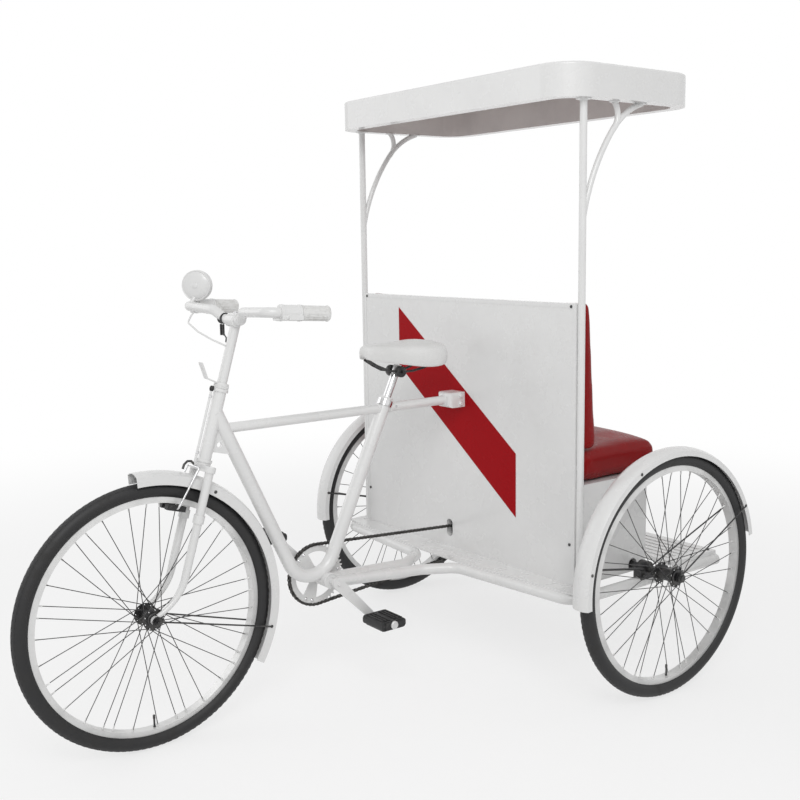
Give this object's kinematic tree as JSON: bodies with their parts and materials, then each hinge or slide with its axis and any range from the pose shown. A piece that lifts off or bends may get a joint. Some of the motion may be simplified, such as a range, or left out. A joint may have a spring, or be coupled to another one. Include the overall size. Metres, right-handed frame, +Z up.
{
  "type": "cycle rickshaw",
  "caption": "Pedal-driven rickshaw with a bicycle front, a canopied rear-facing bench for passengers and large spoked wheels.",
  "frame": {"origin": "on the ground, under the middle of the vehicle's overall length and width", "axes": "+X forward, +Y to the rider's left, +Z up"},
  "size_m": [1.9979, 1.344, 1.7428],
  "materials": {
    "paint_white": "gloss enamel",
    "tyre_rubber": "matt",
    "rim_metal": "satin",
    "dark_steel": "satin black",
    "chrome": "polished",
    "upholstery_red": "soft semi-gloss vinyl",
    "saddle_white": "smooth vinyl",
    "grip_white": "satin",
    "stripe_red": "gloss",
    "chain_steel": "oiled dark",
    "pedal_black": "matt",
    "lining_grey": "matt"
  },
  "bodies": {
    "chassis": {"main_tube": "paint_white", "head_tube": "paint_white", "head_gusset": "paint_white", "top_tube": "paint_white", "panel_boss": "paint_white", "bottom_bracket": "paint_white", "seat_post": "chrome", "seat_clamp": "chrome", "saddle": "saddle_white", "rails": "paint_white", "front_panel": "paint_white", "panel_stripe": "stripe_red", "seat_box": "paint_white", "seat_cushion": "upholstery_red", "seat_backrest": "upholstery_red", "floor_plate": "paint_white", "canopy": "paint_white", "canopy_lining": "lining_grey", "canopy_posts": "paint_white", "canopy_braces": "paint_white", "rear_fenders": "paint_white", "rear_stays": "dark_steel", "bearing_blocks": "dark_steel", "footboard": "paint_white", "chain": "chain_steel"},
    "steering": {"fork_crown": "paint_white", "fork_stanchions": "paint_white", "fork_blades": "paint_white", "stem": "paint_white", "handlebar": "paint_white", "grips": "grip_white", "brake_levers": "paint_white", "bell": "paint_white", "lamp_bracket": "paint_white", "front_fender": "paint_white", "front_stays": "dark_steel", "front_brake": "chrome", "brake_pads": "pedal_black", "brake_rod": "paint_white", "brake_cable": "paint_white", "front_axle": "dark_steel"},
    "front_wheel": {"front_tyre": "tyre_rubber", "front_rim": "rim_metal", "front_hub": "dark_steel"},
    "rear_wheel_left": {"rear_left_tyre": "tyre_rubber", "rear_left_rim": "rim_metal", "rear_left_hub": "dark_steel"},
    "drive_axle": {"rear_axle": "dark_steel", "sprocket": "dark_steel", "rear_right_tyre": "tyre_rubber", "rear_right_rim": "rim_metal", "rear_right_hub": "dark_steel"},
    "crankset": {"chainring": "paint_white", "cranks": "paint_white"},
    "pedal_left": {"pedal_left": "pedal_black"},
    "pedal_right": {"pedal_right": "pedal_black"}
  },
  "joints": [
    {"name": "steer", "type": "hinge", "parent": "chassis", "child": "steering", "pos_m": [0.59738, 0, 0.33421], "axis": [-0.2924, 0, 0.9563], "range_deg": [-45, 45]},
    {"name": "front_wheel_spin", "type": "hinge", "parent": "steering", "child": "front_wheel", "pos_m": [0.64902, 0, 0.35], "axis": [0, 1, 0], "continuous": true},
    {"name": "left_wheel_spin", "type": "hinge", "parent": "chassis", "child": "rear_wheel_left", "pos_m": [-0.63898, 0.62, 0.35], "axis": [0, 1, 0], "continuous": true},
    {"name": "drive_axle_spin", "type": "hinge", "parent": "chassis", "child": "drive_axle", "pos_m": [-0.63898, 0, 0.35], "axis": [0, 1, 0], "continuous": true},
    {"name": "crank_spin", "type": "hinge", "parent": "chassis", "child": "crankset", "pos_m": [0.11102, 0, 0.342], "axis": [0, 1, 0], "continuous": true},
    {"name": "pedal_left_spin", "type": "hinge", "parent": "crankset", "child": "pedal_left", "pos_m": [-0.00012, 0.132, 0.22691], "axis": [0, 1, 0], "continuous": true},
    {"name": "pedal_right_spin", "type": "hinge", "parent": "crankset", "child": "pedal_right", "pos_m": [0.22217, -0.132, 0.45709], "axis": [0, 1, 0], "continuous": true}
  ]
}
